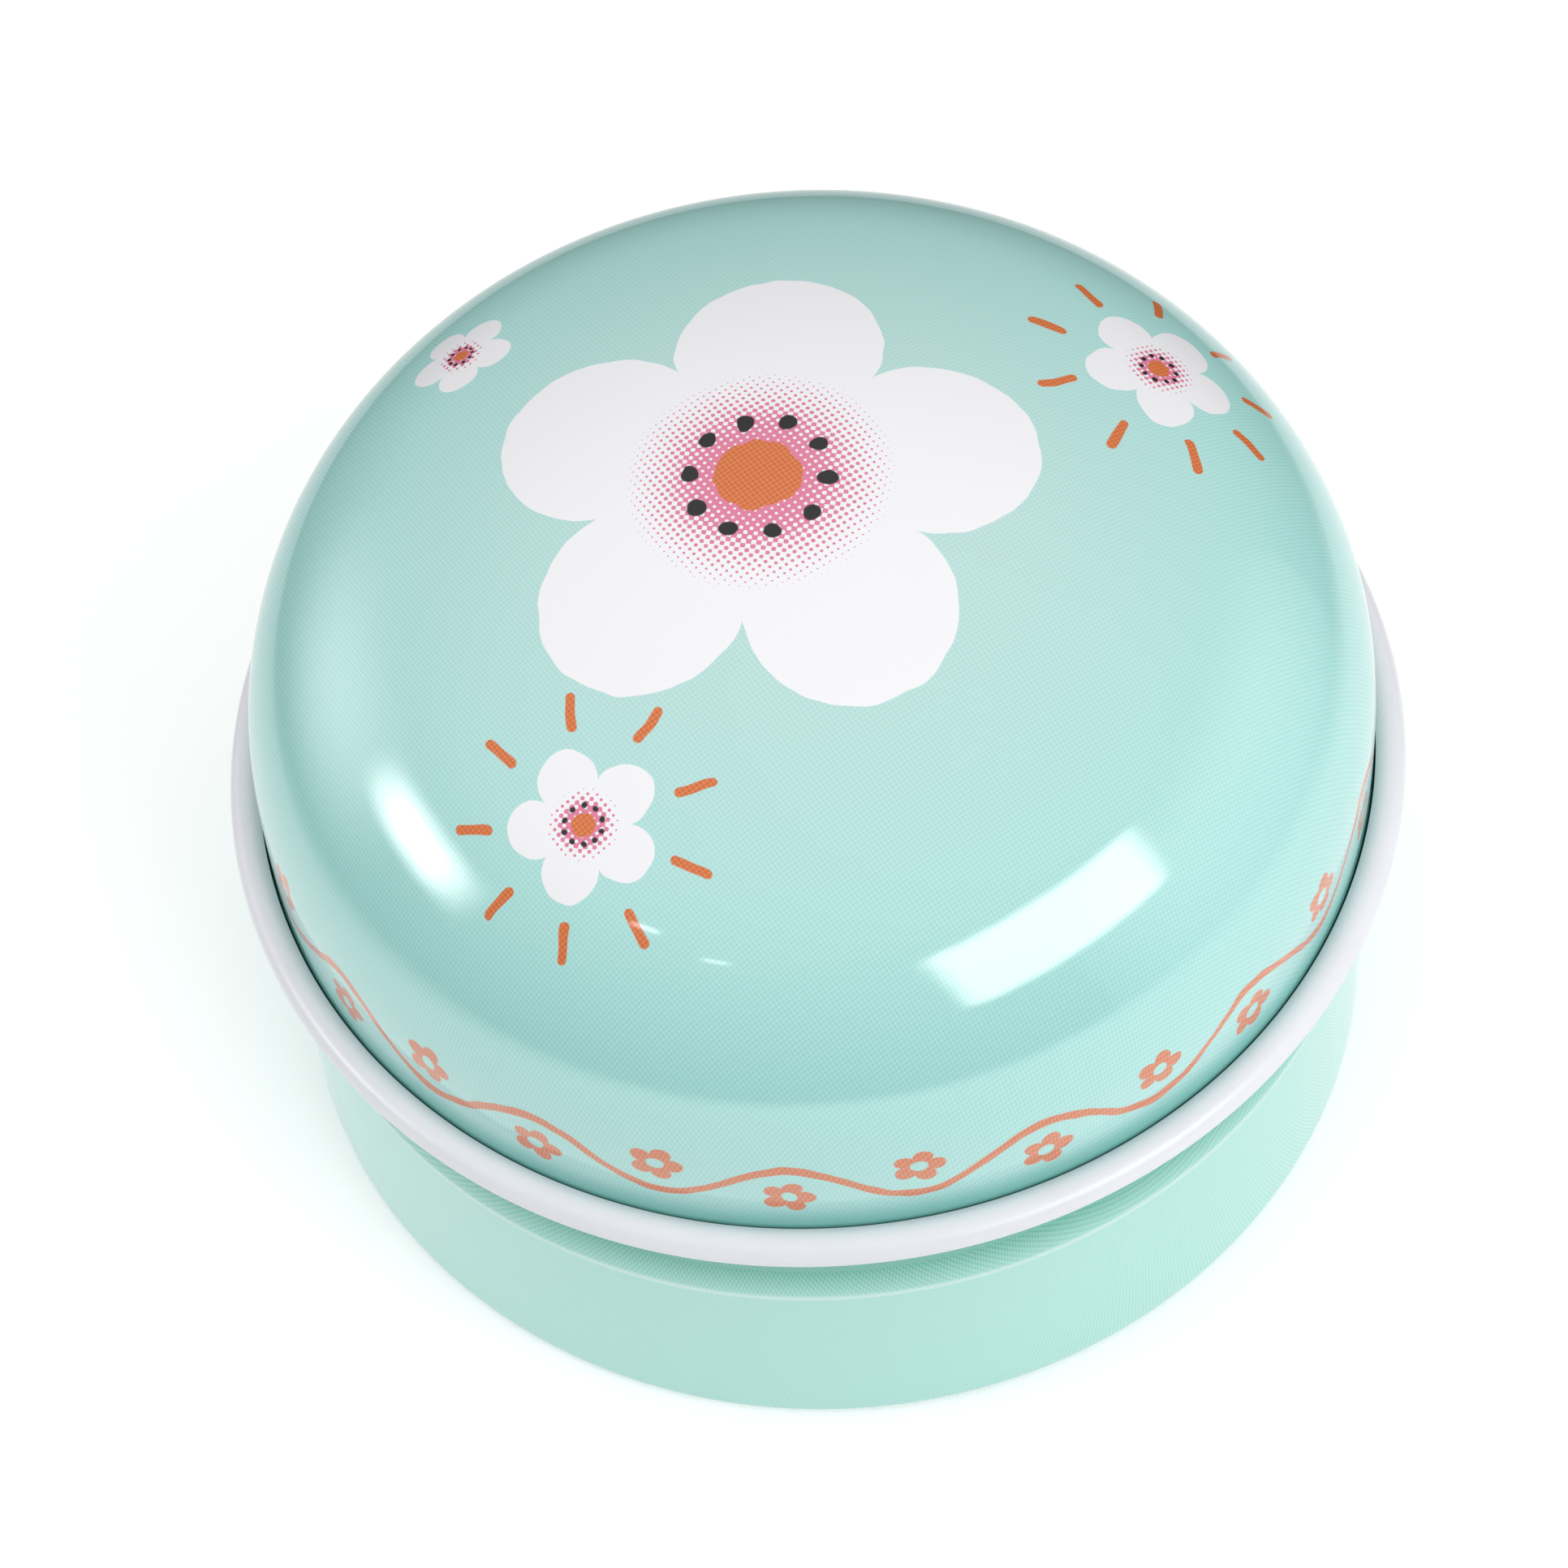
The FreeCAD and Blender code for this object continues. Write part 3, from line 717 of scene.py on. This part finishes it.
# The tent keeps back this share of the room's light everywhere, and all of it where its wall is densest:
# below this height, and more at the back than at the front
TENT_DIMMING = 0.6
TENT_DENSE_BELOW = -0.1
TENT_FRONT_SHARE = 0.75
TENT_BACK_SHARE = 0.9
TENT_WALL_FROM = 0.99 * TENT_RADIUS
CLOTH_BLACK = (0.02, 0.02, 0.02, 1)
WHITE = (1, 1, 1, 1)

# The paper is lifted to white for the camera, gloss and glass, keeps the tin's shadow, and fades out
bpy.ops.object.select_all(action="DESELECT")
bpy.ops.mesh.primitive_circle_add(
    vertices=STAGE_SIDES, radius=PAPER_RADIUS, fill_type="NGON", location=PAPER_MIDDLE)
floor = bpy.context.object
floor.name = "paper_floor"
paper, tree, output = new_material("matt_white_paper")
ray = add_node(tree, "ShaderNodeLightPath", {})
seen = add_node(tree, "ShaderNodeMath", {
    0: ray.outputs["Is Camera Ray"], 1: ray.outputs["Is Glossy Ray"],
}, operation="MAXIMUM")
seen = add_node(tree, "ShaderNodeMath", {0: seen, 1: ray.outputs["Is Transmission Ray"]}, operation="MAXIMUM")
lift = add_node(tree, "ShaderNodeMath", {0: seen, 1: PAPER_LIFT}, operation="MULTIPLY")
sheet = add_node(tree, "ShaderNodeBsdfPrincipled", {
    "Base Color": PAPER_WHITE,
    "Roughness": 0.9,
    "Specular IOR Level": 0.0,
    "Emission Color": WHITE,
    "Emission Strength": lift,
})
place = add_node(tree, "ShaderNodeTexCoord", {})
off_middle = add_node(tree, "ShaderNodeVectorMath", {0: place.outputs["Object"]}, operation="LENGTH")
fade = add_node(tree, "ShaderNodeMapRange", {
    "Value": off_middle.outputs["Value"], "From Min": PAPER_FADE_FROM, "From Max": PAPER_FADE_TO,
}, interpolation_type="SMOOTHSTEP")
clear = add_node(tree, "ShaderNodeBsdfTransparent", {})
faded = add_node(tree, "ShaderNodeMixShader", {0: fade, 1: sheet, 2: clear})
tree.links.new(faded.outputs[0], output.inputs["Surface"])
floor.data.materials.append(paper)

# The tent dims the room and is densest round the foot of its wall, as flags are hung round glossy things:
# reflections are deep near the horizon and paler overhead. The camera doesn't see it
bpy.ops.object.select_all(action="DESELECT")
bpy.ops.mesh.primitive_cylinder_add(
    vertices=STAGE_SIDES, radius=TENT_RADIUS, depth=TENT_TOP - TENT_FOOT, end_fill_type="NGON",
    location=(0, 0, (TENT_TOP + TENT_FOOT) / 2))
surround = bpy.context.object
surround.name = "black_tent"
bpy.ops.object.transform_apply(location=True)
surround.visible_camera = False
cloth, tree, output = new_material("thin_black_cloth")
place = add_node(tree, "ShaderNodeTexCoord", {})
axes = add_node(tree, "ShaderNodeSeparateXYZ", {0: place.outputs["Object"]})
low = add_node(tree, "ShaderNodeMapRange", {
    "Value": axes.outputs["Z"], "From Min": TENT_DENSE_BELOW, "From Max": TENT_TOP,
    "To Min": 1, "To Max": 0,
})
behind = add_node(tree, "ShaderNodeMapRange", {
    "Value": axes.outputs["Y"], "From Min": -TENT_RADIUS, "From Max": TENT_RADIUS,
    "To Min": TENT_FRONT_SHARE, "To Max": TENT_BACK_SHARE,
})
dense = add_node(tree, "ShaderNodeMath", {0: low, 1: behind}, operation="MULTIPLY")
plan = add_node(tree, "ShaderNodeVectorMath", {
    0: place.outputs["Object"], 1: (1, 1, 0),
}, operation="MULTIPLY")
off_axis = add_node(tree, "ShaderNodeVectorMath", {0: plan}, operation="LENGTH").outputs["Value"]
on_wall = add_node(tree, "ShaderNodeMath", {0: off_axis, 1: TENT_WALL_FROM}, operation="GREATER_THAN")
dense = add_node(tree, "ShaderNodeMath", {0: dense, 1: on_wall}, operation="MULTIPLY")
density = add_node(tree, "ShaderNodeMapRange", {"Value": dense, "To Min": TENT_DIMMING, "To Max": 1})
clear = add_node(tree, "ShaderNodeBsdfTransparent", {})
black = add_node(tree, "ShaderNodeBsdfDiffuse", {"Color": CLOTH_BLACK})
cloth_mix = add_node(tree, "ShaderNodeMixShader", {0: density, 1: clear, 2: black})
tree.links.new(cloth_mix.outputs[0], output.inputs["Surface"])
surround.data.materials.append(cloth)

world = bpy.data.worlds.new("white_room")
bpy.context.scene.world = world
world.use_nodes = True
world.node_tree.nodes.clear()
sky = add_node(world.node_tree, "ShaderNodeBackground", {"Color": WHITE, "Strength": 1})
add_node(world.node_tree, "ShaderNodeOutputWorld", {"Surface": sky})

# Lamps: name, azimuth from the front to the right and elevation in degrees, width, height, radiance,
# the share of the half width over which the edge fades, and whether the gloss mirrors it.
# The gloss mirrors the lamps at the sides; the ceiling fills the shadows and leaves no glare on dark inks
LIGHT_DISTANCE = 1.5
LIGHT_TARGET = Vector((0, 0, 0.022))
LAMPS = (
    ("key_softbox", 43, 29, 1.25, 0.76, 4.6, 0.28, True),
    ("left_lamp", -85, 20, 0.9, 0.66, 8.2, 0.9, True),
    ("left_panel", -112, 9, 1.7, 1.7, 1.55, 1, True),
    ("right_panel", 82, 4, 3.2, 2.4, 0.76, 0.8, True),
    ("ceiling_fill", 0, 89, 3.0, 3.0, 1.03, 0.5, False),
    ("window_far", -43, 47, 0.16, 0.06, 4.0, 0.6, True),
    ("window_near", -25, 42, 0.16, 0.05, 3.0, 0.6, True),
)


def softbox(name, azimuth, elevation, width, height, radiance, soft_share, in_gloss):
    """A flat lamp turned to the tin, which fades out towards its edges."""
    side, rise = math.radians(azimuth), math.radians(elevation)
    towards = Vector((math.sin(side) * math.cos(rise), -math.cos(side) * math.cos(rise), math.sin(rise)))
    lamp = bpy.data.lights.new(name, "AREA")
    lamp.shape = "RECTANGLE"
    lamp.size = width
    lamp.size_y = height
    lamp.energy = radiance * math.pi * width * height
    lamp.use_nodes = True
    tree = lamp.node_tree
    tree.nodes.clear()
    panel = add_node(tree, "ShaderNodeNewGeometry", {})
    sides = add_node(tree, "ShaderNodeSeparateXYZ", {0: panel.outputs["Parametric"]})
    fades = []
    for side_name in ("X", "Y"):
        off = add_node(tree, "ShaderNodeMath", {0: sides.outputs[side_name], 1: 0.5}, operation="SUBTRACT")
        off = add_node(tree, "ShaderNodeMath", {0: off}, operation="ABSOLUTE")
        fades.append(add_node(tree, "ShaderNodeMapRange", {
            "Value": off, "From Min": 0.5 - 0.5 * soft_share, "From Max": 0.5, "To Min": 1, "To Max": 0,
        }, interpolation_type="SMOOTHSTEP"))
    glow = add_node(tree, "ShaderNodeMath", {0: fades[0], 1: fades[1]}, operation="MULTIPLY")
    light = add_node(tree, "ShaderNodeEmission", {"Strength": glow})
    add_node(tree, "ShaderNodeOutputLight", {"Surface": light})
    holder = bpy.data.objects.new(name, lamp)
    holder.location = LIGHT_TARGET + towards * LIGHT_DISTANCE
    holder.rotation_euler = towards.to_track_quat("Z", "Y").to_euler()
    holder.visible_glossy = in_gloss
    bpy.context.scene.collection.objects.link(holder)


for lamp_values in LAMPS:
    softbox(*lamp_values)

# Camera: seen from the front and above, tilted a little, as the tin was photographed; angles in radians
CAMERA_PLACE = Vector((0, -150.32014, 243.57689)) * MM
CAMERA_PITCH = 0.98852
CAMERA_YAW = -0.01111
CAMERA_ROLL = -0.0969
FOCAL_PIXELS = 7000
IMAGE_PIXELS = 1932
SENSOR_WIDTH = 36.0
NEAR_CLIP = 0.01

ahead = Vector((
    math.sin(CAMERA_YAW) * math.cos(CAMERA_PITCH),
    math.cos(CAMERA_YAW) * math.cos(CAMERA_PITCH),
    -math.sin(CAMERA_PITCH),
))
level_right = Vector((math.cos(CAMERA_YAW), -math.sin(CAMERA_YAW), 0))
level_up = level_right.cross(ahead)
right = math.cos(CAMERA_ROLL) * level_right + math.sin(CAMERA_ROLL) * level_up
up = math.cos(CAMERA_ROLL) * level_up - math.sin(CAMERA_ROLL) * level_right
lens = bpy.data.cameras.new("photo_camera")
lens.sensor_width = SENSOR_WIDTH
lens.lens = FOCAL_PIXELS / IMAGE_PIXELS * SENSOR_WIDTH
lens.clip_start = NEAR_CLIP
camera = bpy.data.objects.new("photo_camera", lens)
camera.location = CAMERA_PLACE
camera.rotation_euler = Matrix((right, up, -ahead)).transposed().to_euler()
bpy.context.scene.collection.objects.link(camera)
bpy.context.scene.camera = camera
bpy.context.scene.view_settings.view_transform = "Standard"
